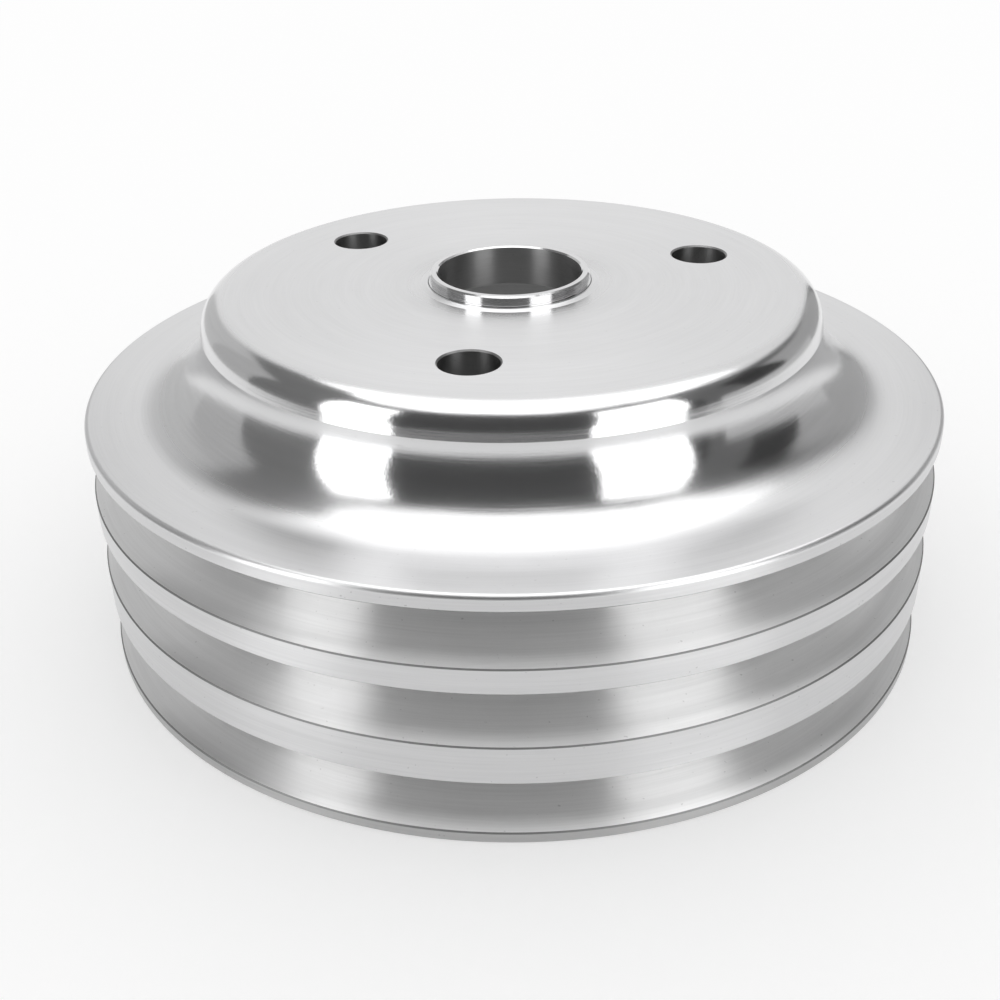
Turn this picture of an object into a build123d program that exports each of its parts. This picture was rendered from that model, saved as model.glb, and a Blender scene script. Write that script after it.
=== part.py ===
"""Three-groove V-belt crankshaft pulley, turned from aluminium, with a pressed-in centring ring.

Units are millimetres. The pulley stands on its open front rim: the origin is on the axis at the
rim's plane, +Z points along the axis towards the nose that bolts to the crankshaft damper.
"""

from build123d import *
import os
from math import radians, sqrt, tan

inch = 25.4

# ---- Driving dimensions ---------------------------------------------------------------------

rim_radius = 6.75 * inch / 2        # all four flanges share this outside radius
flange_face_height = 49.6           # flat face of the engine-side flange
nose_face_height = 69.25            # flat face that seats on the damper
nose_radius = 61.6                  # wall of the nose
nose_taper = 12.0                   # degrees that the nose wall leans in, from a crease at the neck
nose_round = 5.2                    # rounded edge between the nose wall and its face
neck_fillet = 14.0                  # large fillet between the nose wall and the flange face
engine_rim_round = 0.9              # rounded outer edge of the engine-side flange
front_rim_break = 0.2               # small edge break round the front rim

groove_mouth = 7 / 16 * inch        # width of each belt groove at the flanges' outside
groove_depth = 12.0
groove_angle = 36.0                 # included angle between a groove's two flanks
groove_edge_break = 0.25
groove_root_round = 0.5
groove_heights = (7.45, 25.65, 41.25)   # middle planes of the front, middle and rear grooves

dish_radius = 67.5                  # open front dish, under the grooves
web_thickness = 6.0                 # plate behind the nose face
nose_wall = 6.5                     # wall between the neck and the hollow nose
dish_corner_round = 3.0

bolt_circle_radius = 1.65 * inch
bolt_hole_radius = 7 / 32 * inch
bolt_hole_count = 3
first_bolt_angle = 30.0
bolt_hole_break = 0.3

ring_bore_radius = 9 / 16 * inch
ring_outer_radius = 5 / 8 * inch    # register that the damper's recess centres on
ring_seat_radius = 16.1             # pressed part of the ring, inside the web
ring_stand_out = 2.35               # how far the ring stands above the nose face
ring_edge_break = 0.3
lip_height = 0.35                   # low lip of body metal round the foot of the ring
lip_crest_radius = 17.0
lip_foot_radius = 17.8
lip_mouth_break = 0.25

os.makedirs("parts", exist_ok=True)


# ---- Pulley body ------------------------------------------------------------------------------

def nearest_corner(sketch, radius, height):
    """The sketch's corner nearest to a point of the half section."""
    return sketch.vertices().sort_by_distance((radius, height, 0))[0]


def inside_neck_gap(distance):
    """How far the inside of the neck lies from its centre circle, at a distance along one axis."""
    return sqrt(inside_neck_radius**2 - distance**2)


web_underside = nose_face_height - web_thickness
lip_top = nose_face_height + lip_height

# The inside of the neck runs at a constant distance from the large outside fillet.
neck_centre_radius = nose_radius + neck_fillet
neck_centre_height = flange_face_height + neck_fillet
nose_lean = (nose_face_height - neck_centre_height) * tan(radians(nose_taper))
nose_top_radius = nose_radius - nose_lean
inside_neck_radius = neck_fillet + nose_wall
dish_shoulder_height = neck_centre_height - inside_neck_gap(neck_centre_radius - dish_radius)
hollow_nose_radius = neck_centre_radius - inside_neck_gap(neck_centre_height - web_underside)

with BuildPart() as pulley_body:
    with BuildSketch(Plane.XZ) as half_section:
        with BuildLine():
            Polyline(
                (dish_radius, dish_shoulder_height),
                (dish_radius, 0),
                (rim_radius, 0),
                (rim_radius, flange_face_height),
                (neck_centre_radius, flange_face_height),
            )
            RadiusArc(
                (neck_centre_radius, flange_face_height),
                (nose_radius, neck_centre_height),
                neck_fillet,
            )
            Polyline(
                (nose_radius, neck_centre_height),
                (nose_top_radius, nose_face_height),
                (lip_foot_radius, nose_face_height),
                (lip_crest_radius, lip_top),
                (ring_seat_radius + lip_mouth_break, lip_top),
                (ring_seat_radius, lip_top - lip_mouth_break),
                (ring_seat_radius, web_underside),
                (hollow_nose_radius, web_underside),
            )
            RadiusArc(
                (hollow_nose_radius, web_underside),
                (dish_radius, dish_shoulder_height),
                -inside_neck_radius,
            )
        make_face()
        fillet(nearest_corner(half_section, nose_top_radius, nose_face_height), nose_round)
        fillet(nearest_corner(half_section, rim_radius, flange_face_height), engine_rim_round)
        fillet(nearest_corner(half_section, hollow_nose_radius, web_underside), dish_corner_round)
        fillet(nearest_corner(half_section, lip_crest_radius, lip_top), lip_height)
        chamfer(nearest_corner(half_section, rim_radius, 0), front_rim_break)
    revolve(axis=Axis.Z)

    # Three V grooves, each a trapezoid turned round the axis, with its mouth edges broken.
    flank_slope = tan(radians(groove_angle / 2))
    mouth_half = groove_mouth / 2
    flank_start_half = mouth_half - groove_edge_break
    root_half = flank_start_half - (groove_depth - groove_edge_break) * flank_slope
    for groove_height in groove_heights:
        with BuildSketch(Plane.XZ) as groove_section:
            with BuildLine():
                Polyline(
                    (rim_radius - groove_depth, groove_height - root_half),
                    (rim_radius - groove_edge_break, groove_height - flank_start_half),
                    (rim_radius, groove_height - mouth_half),
                    (rim_radius + 1, groove_height - mouth_half),
                    (rim_radius + 1, groove_height + mouth_half),
                    (rim_radius, groove_height + mouth_half),
                    (rim_radius - groove_edge_break, groove_height + flank_start_half),
                    (rim_radius - groove_depth, groove_height + root_half),
                    close=True,
                )
            make_face()
            root_corners = groove_section.vertices().group_by(Axis.X)[0]
            fillet(root_corners, groove_root_round)
        revolve(axis=Axis.Z, mode=Mode.SUBTRACT)

    # Three plain bolt holes through the web, their upper edges broken.
    with Locations((0, 0, nose_face_height)):
        with PolarLocations(bolt_circle_radius, bolt_hole_count, start_angle=first_bolt_angle):
            Hole(bolt_hole_radius, depth=web_thickness)
    face_edges = pulley_body.edges().filter_by(GeomType.CIRCLE).filter_by_position(
        Axis.Z, nose_face_height - 0.01, nose_face_height + 0.01
    )
    hole_edges = face_edges.filter_by(lambda edge: abs(edge.radius - bolt_hole_radius) < 0.01)
    chamfer(hole_edges, bolt_hole_break)

pulley_body.part.label = "pulley_body"
export_step(pulley_body.part, "parts/pulley_body.step")


# ---- Centring ring ----------------------------------------------------------------------------

# A thin sleeve, pressed through the web and standing above the nose face, that centres the
# pulley on the damper. Its bore is the pulley's centre hole.
ring_top = nose_face_height + ring_stand_out

with BuildPart() as centring_ring:
    with BuildSketch(Plane.XY.offset(web_underside)):
        Circle(ring_seat_radius)
        Circle(ring_bore_radius, mode=Mode.SUBTRACT)
    extrude(amount=lip_top - web_underside)
    with BuildSketch(Plane.XY.offset(lip_top)):
        Circle(ring_outer_radius)
        Circle(ring_bore_radius, mode=Mode.SUBTRACT)
    extrude(amount=ring_top - lip_top)
    edges_by_height = centring_ring.edges().filter_by(GeomType.CIRCLE).group_by(Axis.Z)
    chamfer(edges_by_height[0] + edges_by_height[-1], ring_edge_break)

centring_ring.part.label = "centring_ring"
export_step(centring_ring.part, "parts/centring_ring.step")
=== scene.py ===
"""Three-groove V-belt crankshaft pulley: surfaces, studio and camera.

Everything is in metres, in the frame of the CAD model: the pulley stands on its open front rim at
z = 0, and its axis is the Z axis.
"""

from math import atan2, cos, degrees, pi, radians, sin, sqrt, tan

import bpy
from mathutils import Matrix, Vector


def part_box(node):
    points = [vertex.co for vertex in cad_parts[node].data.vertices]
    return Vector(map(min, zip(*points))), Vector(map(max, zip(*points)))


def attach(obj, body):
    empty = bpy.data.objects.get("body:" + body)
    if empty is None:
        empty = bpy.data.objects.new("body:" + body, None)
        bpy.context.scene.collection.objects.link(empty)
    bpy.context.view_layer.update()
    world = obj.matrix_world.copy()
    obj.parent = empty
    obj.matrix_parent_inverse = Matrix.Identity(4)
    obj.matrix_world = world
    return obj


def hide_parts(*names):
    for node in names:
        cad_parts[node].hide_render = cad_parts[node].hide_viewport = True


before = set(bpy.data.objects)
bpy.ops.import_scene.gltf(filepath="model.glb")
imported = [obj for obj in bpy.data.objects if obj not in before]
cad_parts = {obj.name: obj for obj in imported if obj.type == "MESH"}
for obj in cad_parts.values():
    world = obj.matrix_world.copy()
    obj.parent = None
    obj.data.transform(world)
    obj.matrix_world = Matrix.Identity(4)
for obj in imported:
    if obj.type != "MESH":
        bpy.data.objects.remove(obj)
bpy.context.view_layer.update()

# ---- Sizes, as in the CAD model ---------------------------------------------------------------

MM = 0.001
BODY = "pulley"

body_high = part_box("pulley_body")[1]
ring_low, ring_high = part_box("centring_ring")

RIM_RADIUS = body_high.x
FLANGE_FACE = 49.6 * MM
NOSE_FACE = 69.25 * MM
NOSE_RADIUS = 61.6 * MM
NOSE_TAPER = radians(12)
NOSE_ROUND = 5.2 * MM
NECK_FILLET = 14.0 * MM
ENGINE_RIM_ROUND = 0.9 * MM
FRONT_RIM_BREAK = 0.2 * MM

GROOVE_MOUTH = 11.1125 * MM
GROOVE_DEPTH = 12.0 * MM
GROOVE_ANGLE = radians(36)
GROOVE_EDGE_BREAK = 0.25 * MM
GROOVE_ROOT_ROUND = 0.5 * MM
GROOVE_HEIGHTS = (41.25 * MM, 25.65 * MM, 7.45 * MM)

DISH_RADIUS = 67.5 * MM
WEB_UNDERSIDE = ring_low.z
NOSE_WALL = 6.5 * MM
DISH_CORNER_ROUND = 3.0 * MM

BOLT_CIRCLE_RADIUS = 41.91 * MM
BOLT_HOLE_RADIUS = 5.55625 * MM
BOLT_HOLE_BREAK = 0.3 * MM
BOLT_ANGLES = (30, 150, 270)

RING_BORE_RADIUS = 14.2875 * MM
RING_SEAT_RADIUS = ring_high.x
RING_OUTER_RADIUS = 15.875 * MM
RING_TOP = ring_high.z
RING_EDGE_BREAK = 0.3 * MM
LIP_TOP = body_high.z
LIP_CREST_RADIUS = 17.0 * MM
LIP_FOOT_RADIUS = 17.8 * MM
LIP_MOUTH_BREAK = 0.25 * MM
LIP_ROUND = 0.35 * MM

# Steps round the axis, round a hole, and along each arc of the half sections.
LATHE_STEPS = 720
HOLE_STEPS = 96
ROOT_STEPS = 12
LIP_STEPS = 4
NOSE_STEPS = 24
NECK_STEPS = 40
RIM_STEPS = 16
INSIDE_STEPS = 24
CORNER_STEPS = 12

FACE_MARGIN = 2 * MM     # a last ring of the flat faces, which keeps them flat beside the arcs
CUTTER_MARGIN = 2 * MM
SHARP_ANGLE = radians(9)


# ---- Turned meshes ----------------------------------------------------------------------------

def arc(centre, radius, start, end, count, zone):
    """Points of a half section on an arc, with angles in degrees from the outward direction."""
    points = []
    for i in range(count + 1):
        angle = radians(start + (end - start) * i / count)
        points.append((centre[0] + radius * cos(angle), centre[1] + radius * sin(angle), zone))
    return points


def line(points, zone):
    """Corners of a half section; zone names the surface that starts at each of them."""
    return [(radius, height, zone) for radius, height in points]


def lathe(name, outline, materials):
    """A closed mesh turned from a half section of (radius, height, zone) points.

    materials holds each zone's material.
    """
    zones = list(materials)
    steps = LATHE_STEPS
    corners = []
    for radius, height, zone in outline:
        for step in range(steps):
            angle = 2 * pi * step / steps
            corners.append((radius * cos(angle), radius * sin(angle), height))
    faces = []
    slots = []
    for i, (_, _, zone) in enumerate(outline):
        here = i * steps
        there = (i + 1) % len(outline) * steps
        for step in range(steps):
            after = (step + 1) % steps
            faces.append((here + step, there + step, there + after, here + after))
            slots.append(zones.index(zone))
    mesh = bpy.data.meshes.new(name)
    mesh.from_pydata(corners, [], faces)
    for material in materials.values():
        mesh.materials.append(material)
    mesh.polygons.foreach_set("material_index", slots)
    mesh.update()
    piece = bpy.data.objects.new(name, mesh)
    bpy.context.scene.collection.objects.link(piece)
    return piece


def groove_outline(height):
    """One belt groove's half section, from its upper mouth edge down to its lower one."""
    slope = tan(GROOVE_ANGLE / 2)
    mouth = GROOVE_MOUTH / 2
    flank = mouth - GROOVE_EDGE_BREAK
    root = flank - (GROOVE_DEPTH - GROOVE_EDGE_BREAK) * slope
    bottom = RIM_RADIUS - GROOVE_DEPTH
    shoulder = RIM_RADIUS - GROOVE_EDGE_BREAK
    setback = GROOVE_ROOT_ROUND * tan(pi / 4 - GROOVE_ANGLE / 4)
    middle = bottom + GROOVE_ROOT_ROUND
    root_half = root - setback
    turn = 90 - degrees(GROOVE_ANGLE / 2)
    # The broken mouth edges make up the zone break, which carries a painted shadow line.
    points = line([(RIM_RADIUS, height + mouth)], "break")
    points += line([(shoulder, height + flank)], "groove")
    upper = (middle, height + root_half)
    lower = (middle, height - root_half)
    points += arc(upper, GROOVE_ROOT_ROUND, 180 - turn, 180, ROOT_STEPS, "groove")
    points += arc(lower, GROOVE_ROOT_ROUND, 180, 180 + turn, ROOT_STEPS, "groove")
    points += line([(shoulder, height - flank)], "break")
    points += line([(RIM_RADIUS, height - mouth)], "land")
    return points


def body_outline():
    """The pulley's half section: out over the nose, down the grooves and up the inside."""
    neck = (NOSE_RADIUS + NECK_FILLET, FLANGE_FACE + NECK_FILLET)
    inside = NECK_FILLET + NOSE_WALL
    shoulder = DISH_RADIUS - neck[0]
    shoulder_drop = -sqrt(inside**2 - shoulder**2)
    shoulder_angle = degrees(atan2(shoulder_drop, shoulder))
    # The round in the corner of the hollow touches the nose wall's inside and the web.
    corner_drop = WEB_UNDERSIDE - DISH_CORNER_ROUND - neck[1]
    corner_reach = sqrt((inside + DISH_CORNER_ROUND)**2 - corner_drop**2)
    corner = (neck[0] - corner_reach, neck[1] + corner_drop)
    wall_angle = degrees(atan2(corner_drop, -corner_reach))
    corner_angle = degrees(atan2(-corner_drop, corner_reach))
    # The nose wall leans in from a crease at the neck, and its round touches it and the face.
    round_height = NOSE_FACE - NOSE_ROUND
    lean = (round_height - neck[1]) * tan(NOSE_TAPER) + NOSE_ROUND / cos(NOSE_TAPER)
    nose_centre = (NOSE_RADIUS - lean, round_height)
    rim_centre = (RIM_RADIUS - ENGINE_RIM_ROUND, FLANGE_FACE - ENGINE_RIM_ROUND)
    crest = (LIP_CREST_RADIUS - LIP_ROUND, LIP_TOP - LIP_ROUND)

    points = line([(RING_SEAT_RADIUS, WEB_UNDERSIDE)], "inside")
    points += line([(RING_SEAT_RADIUS, LIP_TOP - LIP_MOUTH_BREAK)], "polished")
    points += line([(RING_SEAT_RADIUS + LIP_MOUTH_BREAK, LIP_TOP)], "polished")
    points += arc(crest, LIP_ROUND, 90, 60, LIP_STEPS, "polished")
    points += line([(LIP_FOOT_RADIUS, NOSE_FACE)], "top")
    points += line([(nose_centre[0] - FACE_MARGIN, NOSE_FACE)], "top")
    points += arc(nose_centre, NOSE_ROUND, 90, degrees(NOSE_TAPER), NOSE_STEPS, "top")
    points += arc(neck, NECK_FILLET, 180, 270, NECK_STEPS, "top")
    points += line([(neck[0] + FACE_MARGIN, FLANGE_FACE)], "top")
    points += arc(rim_centre, ENGINE_RIM_ROUND, 90, 0, RIM_STEPS, "edge")[:-1]
    points += line([(RIM_RADIUS, FLANGE_FACE - ENGINE_RIM_ROUND)], "land")
    for height in GROOVE_HEIGHTS:
        points += groove_outline(height)
    # The front rim's land is a zone of its own, so that it can carry painted shade.
    points = points[:-1] + line([(RIM_RADIUS, GROOVE_HEIGHTS[-1] - GROOVE_MOUTH / 2)], "foot")
    points += line([(RIM_RADIUS, FRONT_RIM_BREAK)], "foot")
    points += line([(RIM_RADIUS - FRONT_RIM_BREAK, 0), (DISH_RADIUS, 0)], "inside")
    points += arc(neck, inside, shoulder_angle, wall_angle, INSIDE_STEPS, "inside")
    points += arc(corner, DISH_CORNER_ROUND, corner_angle, 90, CORNER_STEPS, "inside")[1:]
    return points


def ring_outline():
    """The centring ring's half section, a thin sleeve with its edges broken."""
    top = RING_TOP
    inner_edge = RING_BORE_RADIUS + RING_EDGE_BREAK
    outer_edge = RING_OUTER_RADIUS - RING_EDGE_BREAK
    seat_edge = RING_SEAT_RADIUS - RING_EDGE_BREAK
    points = line([(RING_BORE_RADIUS, WEB_UNDERSIDE + RING_EDGE_BREAK)], "bore")
    points += line([(RING_BORE_RADIUS, top - RING_EDGE_BREAK), (inner_edge, top)], "ring")
    points += line([(outer_edge, top), (RING_OUTER_RADIUS, top - RING_EDGE_BREAK)], "ring")
    points += line([(RING_OUTER_RADIUS, LIP_TOP)], "ring")
    points += line([(RING_SEAT_RADIUS, LIP_TOP)], "bore")
    points += line([(RING_SEAT_RADIUS, WEB_UNDERSIDE + RING_EDGE_BREAK)], "bore")
    points += line([(seat_edge, WEB_UNDERSIDE), (inner_edge, WEB_UNDERSIDE)], "bore")
    return points


def bolt_hole_cutter(angle, material):
    """A pin with a cone at its top, which cuts one bolt hole and breaks its upper edge."""
    wide = BOLT_HOLE_RADIUS + BOLT_HOLE_BREAK
    outline = [
        (BOLT_HOLE_RADIUS, WEB_UNDERSIDE - CUTTER_MARGIN),
        (BOLT_HOLE_RADIUS, NOSE_FACE - BOLT_HOLE_BREAK),
        (wide, NOSE_FACE),
        (wide + CUTTER_MARGIN, NOSE_FACE + CUTTER_MARGIN),
    ]
    corners = []
    steps = HOLE_STEPS
    for radius, height in outline:
        for step in range(steps):
            turn = 2 * pi * step / steps
            corners.append((radius * cos(turn), radius * sin(turn), height))
    bands = len(outline) - 1
    faces = [tuple(reversed(range(steps))), tuple(range(bands * steps, (bands + 1) * steps))]
    for i in range(bands):
        for step in range(steps):
            after = (step + 1) % steps
            low = i * steps
            high = low + steps
            faces.append((low + step, low + after, high + after, high + step))
    mesh = bpy.data.meshes.new("bolt_hole_cutter")
    mesh.from_pydata(corners, [], faces)
    mesh.materials.append(material)
    cutter = bpy.data.objects.new("bolt_hole_cutter", mesh)
    bpy.context.scene.collection.objects.link(cutter)
    place = radians(angle)
    cutter.location = (BOLT_CIRCLE_RADIUS * cos(place), BOLT_CIRCLE_RADIUS * sin(place), 0)
    return cutter


def cut_bolt_holes(piece, material):
    """Cuts the bolt holes into the turned body, for good."""
    cutters = []
    for angle in BOLT_ANGLES:
        cutter = bolt_hole_cutter(angle, material)
        cutters.append(cutter)
        cut = piece.modifiers.new("bolt_hole", "BOOLEAN")
        cut.operation = "DIFFERENCE"
        cut.solver = "EXACT"
        cut.material_mode = "TRANSFER"
        cut.object = cutter
    bpy.context.view_layer.update()
    graph = bpy.context.evaluated_depsgraph_get()
    cut_mesh = bpy.data.meshes.new_from_object(piece.evaluated_get(graph))
    piece.modifiers.clear()
    old = piece.data
    piece.data = cut_mesh
    cut_mesh.name = piece.name
    bpy.data.meshes.remove(old)
    for cutter in cutters:
        mesh = cutter.data
        bpy.data.objects.remove(cutter)
        bpy.data.meshes.remove(mesh)


# ---- Turned aluminium -------------------------------------------------------------------------

GRAIN_SCALE = 1800       # of noise patterns, in patches per metre or so
PIT_SCALE = 1300
PATCH_SCALE = 28
PIT_RANGE = (0.75, 0.79)  # of the pit noise, from sound metal to the bottom of a pit
LEAST_ROUGHNESS = 0.03


def turned_aluminium(name, tone, roughness, spread, lines, line_depth, anisotropy, stain, ramp=()):
    """Aluminium with the fine rings that a lathe leaves round the Z axis.

    spread is how much the roughness varies, lines how many rings lie in a millimetre, line_depth
    their depth, and stain how much the colour varies. ramp gives the roughness and the anisotropy
    at some radii, in place of one value of each.
    """
    material = bpy.data.materials.new(name)
    material.use_nodes = True
    nodes = material.node_tree.nodes
    links = material.node_tree.links
    nodes.clear()

    def node(kind, **settings):
        made = nodes.new(kind)
        for key, value in settings.items():
            setattr(made, key, value)
        return made

    def math(operation, first, second=None):
        made = node("ShaderNodeMath", operation=operation)
        for socket, value in zip(made.inputs, (first, second)):
            if value is None:
                continue
            if isinstance(value, (int, float)):
                socket.default_value = value
            else:
                links.new(value, socket)
        return made.outputs[0]

    place = node("ShaderNodeTexCoord").outputs["Object"]
    split = node("ShaderNodeSeparateXYZ")
    links.new(place, split.inputs[0])
    flat = node("ShaderNodeCombineXYZ")
    links.new(split.outputs["X"], flat.inputs["X"])
    links.new(split.outputs["Y"], flat.inputs["Y"])
    radius = node("ShaderNodeVectorMath", operation="LENGTH")
    links.new(flat.outputs[0], radius.inputs[0])
    radius = radius.outputs["Value"]
    around = node("ShaderNodeVectorMath", operation="NORMALIZE")
    links.new(flat.outputs[0], around.inputs[0])

    # The distance along the half section, near enough: outwards on a face, down on a wall.
    along = math("SUBTRACT", radius, split.outputs["Z"])

    def rings(per_metre, arc_scale, detail):
        """Noise drawn out round the axis, into rings that fade in and out."""
        stretched = node("ShaderNodeVectorMath", operation="SCALE")
        links.new(around.outputs[0], stretched.inputs[0])
        stretched.inputs["Scale"].default_value = arc_scale
        lifted = node("ShaderNodeCombineXYZ")
        links.new(math("MULTIPLY", along, per_metre), lifted.inputs["Z"])
        joined = node("ShaderNodeVectorMath", operation="ADD")
        links.new(stretched.outputs[0], joined.inputs[0])
        links.new(lifted.outputs[0], joined.inputs[1])
        noise = node("ShaderNodeTexNoise")
        noise.inputs["Scale"].default_value = 1
        noise.inputs["Detail"].default_value = detail
        noise.inputs["Roughness"].default_value = 0.6
        links.new(joined.outputs[0], noise.inputs["Vector"])
        return noise.outputs["Fac"]

    fine = rings(lines * 1000, 3.0, 3)
    coarse = rings(lines * 180, 1.2, 2)
    grain = node("ShaderNodeTexNoise")
    grain.inputs["Scale"].default_value = GRAIN_SCALE
    grain.inputs["Detail"].default_value = 2
    links.new(place, grain.inputs["Vector"])
    patches = node("ShaderNodeTexNoise")
    patches.inputs["Scale"].default_value = PATCH_SCALE
    patches.inputs["Detail"].default_value = 3
    links.new(place, patches.inputs["Vector"])

    shader = node("ShaderNodeBsdfPrincipled")
    shader.inputs["Metallic"].default_value = 1
    shader.inputs["Anisotropic"].default_value = anisotropy
    # A quarter turn, so that a reflection blurs across the rings and not along them.
    shader.inputs["Anisotropic Rotation"].default_value = 0.25

    def by_radius(values):
        """A value that eases from one radius of the ramp to the next."""
        total = values[0]
        for i in range(1, len(ramp)):
            step = node("ShaderNodeMapRange", interpolation_type="SMOOTHSTEP")
            links.new(radius, step.inputs["Value"])
            step.inputs["From Min"].default_value = ramp[i - 1][0]
            step.inputs["From Max"].default_value = ramp[i][0]
            step.inputs["To Min"].default_value = 0
            step.inputs["To Max"].default_value = values[i] - values[i - 1]
            total = math("ADD", step.outputs[0], total)
        return total

    if ramp:
        links.new(by_radius([stop[2] for stop in ramp]), shader.inputs["Anisotropic"])
        roughness = by_radius([stop[1] for stop in ramp])

    uneven = math("ADD", math("MULTIPLY", coarse, 0.6), math("MULTIPLY", patches.outputs["Fac"], 0.4))
    uneven = math("SUBTRACT", uneven, 0.5)
    rough = math("ADD", math("MULTIPLY", uneven, spread), roughness)
    rough = math("ADD", rough, math("MULTIPLY", math("SUBTRACT", fine, 0.5), spread * 0.5))
    rough = math("MAXIMUM", rough, LEAST_ROUGHNESS)
    links.new(rough, shader.inputs["Roughness"])

    # Sparse small pits.
    pits = node("ShaderNodeTexNoise")
    pits.inputs["Scale"].default_value = PIT_SCALE
    pits.inputs["Detail"].default_value = 1
    links.new(place, pits.inputs["Vector"])
    pitted = node("ShaderNodeMapRange")
    links.new(pits.outputs["Fac"], pitted.inputs["Value"])
    pitted.inputs["From Min"].default_value = PIT_RANGE[0]
    pitted.inputs["From Max"].default_value = PIT_RANGE[1]
    pitted.inputs["To Min"].default_value = 0
    pitted.inputs["To Max"].default_value = 3

    dull = tuple(channel * (1 - stain) for channel in tone)
    colour = node("ShaderNodeMix", data_type="RGBA")
    colour.inputs["A"].default_value = (*dull, 1)
    colour.inputs["B"].default_value = (*tone, 1)
    # The colour varies with the coarse patches and, as fine streaks, with the rings.
    streaks = math("MULTIPLY", math("SUBTRACT", fine, 0.5), 2.5)
    shade = math("ADD", math("ADD", math("MULTIPLY", uneven, 3.0), streaks), 0.5)
    links.new(math("SUBTRACT", shade, pitted.outputs[0]), colour.inputs["Factor"])
    colour.clamp_factor = False
    links.new(colour.outputs["Result"], shader.inputs["Base Color"])

    ring_bump = node("ShaderNodeBump")
    ring_bump.inputs["Strength"].default_value = 1
    ring_bump.inputs["Distance"].default_value = line_depth
    height = math("ADD", math("MULTIPLY", fine, 0.7), math("MULTIPLY", coarse, 1.5))
    height = math("ADD", height, math("MULTIPLY", grain.outputs["Fac"], 0.5))
    links.new(height, ring_bump.inputs["Height"])
    links.new(ring_bump.outputs[0], shader.inputs["Normal"])

    tangent = node("ShaderNodeTangent", direction_type="RADIAL", axis="Z")
    links.new(tangent.outputs[0], shader.inputs["Tangent"])

    out = node("ShaderNodeOutputMaterial")
    links.new(shader.outputs[0], out.inputs["Surface"])
    return material


PALE = (0.86, 0.86, 0.86)
BRIGHT = (0.75, 0.75, 0.755)
SATIN = (0.72, 0.72, 0.725)
# Painted shade: this tone darkens the front rim's land, standing in for the shadowed floor close by
# that it reflects, and the hollow inside, standing in for the shade in it.
PAINTED_SHADE = (0.54, 0.54, 0.54)
# Painted shade: this tone darkens the ring's bore, standing in for the shade inside it.
PAINTED_DEEP_SHADE = (0.42, 0.42, 0.42)
# Painted shade: this tone darkens the bolt holes and the broken edges of the groove mouths, standing
# in for the shade in them.
PAINTED_DEEPEST_SHADE = (0.28, 0.28, 0.28)

# Radius, roughness and anisotropy of the nose face, its polished round and neck, and the flange.
TOP_FINISH = (
    (0.0185, 0.26, 0.9),
    (0.0270, 0.38, 0.3),
    (0.0540, 0.38, 0.3),
    (0.0600, 0.15, 0.9),
    (0.0650, 0.16, 0.9),
    (0.0685, 0.23, 0.9),
    (0.0745, 0.34, 0.4),
)

body_materials = {
    "top": turned_aluminium("turned_top", SATIN, 0.0, 0.05, 2.5, 1.1e-5, 0.0, 0.04, TOP_FINISH),
    "polished": turned_aluminium("lip", SATIN, 0.30, 0.04, 5, 2.0e-6, 0.6, 0.03),
    "land": turned_aluminium("turned_land", SATIN, 0.30, 0.1, 2, 1.5e-5, 0.9, 0.08),
    # Painted shade: the front rim's land is darker, standing in for the shadowed floor close by that
    # it reflects.
    "foot": turned_aluminium("rim_foot", PAINTED_SHADE, 0.32, 0.1, 2, 1.5e-5, 0.9, 0.08),
    "edge": turned_aluminium("broken_edge", SATIN, 0.36, 0.05, 3, 1.0e-6, 0.5, 0.03),
    # Painted shadow: a dark line along each groove mouth edge, standing in for the shadow there.
    "break": turned_aluminium("groove_edge", PAINTED_DEEPEST_SHADE, 0.50, 0.05, 3, 1.0e-6, 0.0, 0.06),
    "groove": turned_aluminium("groove_flank", PALE, 0.30, 0.08, 2, 1.2e-5, 1.0, 0.07),
    # Painted shade: the hollow inside is darker, standing in for the shade that falls in it.
    "inside": turned_aluminium("turned_inside", PAINTED_SHADE, 0.36, 0.1, 2, 1.5e-5, 0.8, 0.08),
}
# Painted shade: the bolt holes' walls are darker, standing in for the shade inside them.
drilled_hole = turned_aluminium("drilled_hole", PAINTED_DEEPEST_SHADE, 0.36, 0.1, 3, 1.5e-5, 0.8, 0.08)
ring_materials = {
    "ring": turned_aluminium("polished_ring", BRIGHT, 0.12, 0.05, 4, 5.0e-6, 0.8, 0.05),
    # Painted shade: the bore is darker, standing in for the shade inside it.
    "bore": turned_aluminium("reamed_bore", PAINTED_DEEP_SHADE, 0.36, 0.1, 3, 1.8e-5, 0.9, 0.08),
}

# ---- The two pieces ---------------------------------------------------------------------------

body = lathe("turned_body", body_outline(), body_materials)
cut_bolt_holes(body, drilled_hole)
ring = lathe("turned_ring", ring_outline(), ring_materials)

for piece in (body, ring):
    piece.data.shade_smooth()
    piece.data.set_sharp_from_angle(angle=SHARP_ANGLE)

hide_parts("pulley_body")
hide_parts("centring_ring")
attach(body, BODY)
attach(ring, BODY)

# ---- Studio -----------------------------------------------------------------------------------

CAMERA_SIDE = 9.9        # degrees round from -Y, anticlockwise from above
EYE_HEIGHT = 0.05        # of the point that the screens' elevations are taken from
SCREEN_COLUMNS = 8       # between one given top and the next
FLOOR_REACH = 4.0


def studio(side, distance, height):
    """A point of the studio: side is in degrees to the right of the camera, as the pulley sees it."""
    angle = radians(CAMERA_SIDE + side)
    return Vector((distance * sin(angle), -distance * cos(angle), height))


def aim(thing, target):
    """Turns a lamp so that it shines on a point."""
    thing.rotation_euler = (target - thing.location).to_track_quat("-Z", "Y").to_euler()


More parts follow.
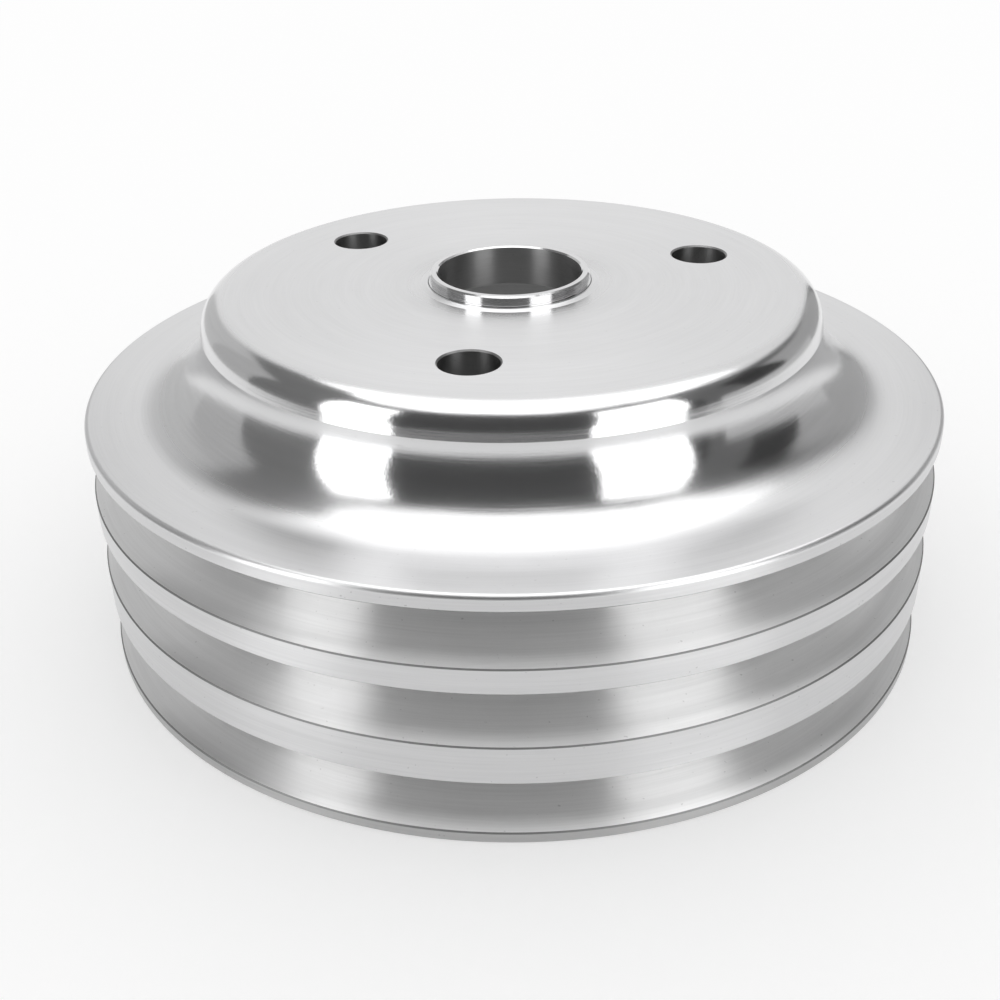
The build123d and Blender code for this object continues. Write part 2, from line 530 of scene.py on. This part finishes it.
def softbox(name, place, target, width, length, brightness, lean=0):
    """A square-cornered lamp of even brightness, in watts per square metre and steradian.

    lean turns it about the line it shines along, in degrees, which moves its top sideways.
    """
    data = bpy.data.lights.new(name, "AREA")
    data.shape = "RECTANGLE"
    data.size = width
    data.size_y = length
    data.energy = brightness * pi * width * length
    lamp = bpy.data.objects.new(name, data)
    bpy.context.scene.collection.objects.link(lamp)
    lamp.location = place
    aim(lamp, target)
    lamp.rotation_euler.rotate_axis("Z", radians(lean))
    lamp.visible_camera = False
    lamp.visible_diffuse = False


def plain_material(name, colour, roughness, glow):
    """A plain stage surface, lit or glowing."""
    material = bpy.data.materials.new(name)
    material.use_nodes = True
    shader = material.node_tree.nodes["Principled BSDF"]
    shader.inputs["Base Color"].default_value = (*colour, 1)
    shader.inputs["Roughness"].default_value = roughness
    shader.inputs["Specular IOR Level"].default_value = 0
    shader.inputs["Emission Color"].default_value = (1, 1, 1, 1)
    shader.inputs["Emission Strength"].default_value = glow
    return material


def stage_mesh(name, corners, faces, material):
    """A mesh of the studio, which isn't part of the object."""
    mesh = bpy.data.meshes.new(name)
    mesh.from_pydata(corners, [], faces)
    mesh.materials.append(material)
    thing = bpy.data.objects.new(name, mesh)
    bpy.context.scene.collection.objects.link(thing)
    return thing


def screen(name, sides, bottom, tops, distance, glow):
    """A curved screen round the pulley that only its polish reflects, never the camera.

    It runs between two sides in degrees, from an elevation in degrees up to an even run of tops.
    """
    count = SCREEN_COLUMNS * (len(tops) - 1)
    corners = []
    faces = []
    for i in range(count + 1):
        side = sides[0] + (sides[1] - sides[0]) * i / count
        before = min(i // SCREEN_COLUMNS, len(tops) - 2)
        share = i / SCREEN_COLUMNS - before
        top = tops[before] * (1 - share) + tops[before + 1] * share
        corners.append(studio(side, distance, EYE_HEIGHT + distance * tan(radians(bottom))))
        corners.append(studio(side, distance, EYE_HEIGHT + distance * tan(radians(top))))
    for i in range(count):
        faces.append((2 * i, 2 * i + 2, 2 * i + 3, 2 * i + 1))
    thing = stage_mesh(name, corners, faces, plain_material(name, (0, 0, 0), 1, glow))
    thing.visible_camera = False
    thing.visible_diffuse = False
    thing.visible_shadow = False


stage_mesh(
    "floor",
    [
        (-FLOOR_REACH, -FLOOR_REACH, 0),
        (FLOOR_REACH, -FLOOR_REACH, 0),
        (FLOOR_REACH, FLOOR_REACH, 0),
        (-FLOOR_REACH, FLOOR_REACH, 0),
    ],
    [(0, 1, 2, 3)],
    plain_material("pale_floor", (0.8, 0.8, 0.8), 1, 0.25),
)

# The room round the pulley: dark screens, with lighter and blacker ones a little in front of them.
screen("dark_middle", (-45, 66), -16, (62, 68, 68, 62), 0.62, 0.07)
screen("dark_left", (-150, -45), -6, (44, 60, 59, 60, 62), 0.62, 0.20)
screen("dark_right", (66, 150), -4, (60, 50, 38, 20), 0.62, 0.15)
screen("black_right", (84, 106), 6, (36, 38), 0.60, 0.045)
screen("low_right", (72, 125), -8, (8, 6), 0.59, 0.58)
screen("grey_left", (-125, -98), -14, (37, 34), 0.60, 0.50)
screen("light_left", (-150, -125), -14, (34, 37), 0.60, 0.60)
screen("grey_right", (106, 148), -3, (32, 20), 0.60, 0.42)

softbox("left_softbox", studio(-54, 0.49, 0.28), studio(-54, 0, 0.28), 0.215, 0.66, 2.4, 8)
softbox("right_softbox", studio(45, 0.484, 0.28), studio(45, 0, 0.28), 0.275, 0.66, 2.4, -9)
softbox("overhead_softbox", studio(180, 0.15, 1.2), studio(180, 0.15, 0), 1.7, 1.4, 1.1)

world = bpy.data.worlds.new("white_room")
bpy.context.scene.world = world
world.use_nodes = True
background = world.node_tree.nodes["Background"]
background.inputs["Color"].default_value = (1, 1, 1, 1)
background.inputs["Strength"].default_value = 0.92

# ---- Camera -----------------------------------------------------------------------------------

# In degrees: how far it looks past the axis, below the level, and how far it is rolled.
CAMERA_TURN = 1.483
CAMERA_DIP = 29.30
CAMERA_ROLL = -1.342

camera_data = bpy.data.cameras.new("camera")
camera_data.lens = 48.97
camera_data.sensor_width = 36
camera_data.shift_x = 0.0185
camera_data.shift_y = 0.0137
camera_data.clip_start = 0.01
camera = bpy.data.objects.new("camera", camera_data)
bpy.context.scene.collection.objects.link(camera)
camera.location = studio(0, 0.2594, 0.16157)
turn = Matrix.Rotation(radians(CAMERA_SIDE + CAMERA_TURN), 4, "Z")
tilt = Matrix.Rotation(radians(90 - CAMERA_DIP), 4, "X")
roll = Matrix.Rotation(radians(CAMERA_ROLL), 4, "Z")
camera.matrix_world = Matrix.Translation(camera.location) @ turn @ tilt @ roll
bpy.context.scene.camera = camera

bpy.context.scene.view_settings.view_transform = "Standard"
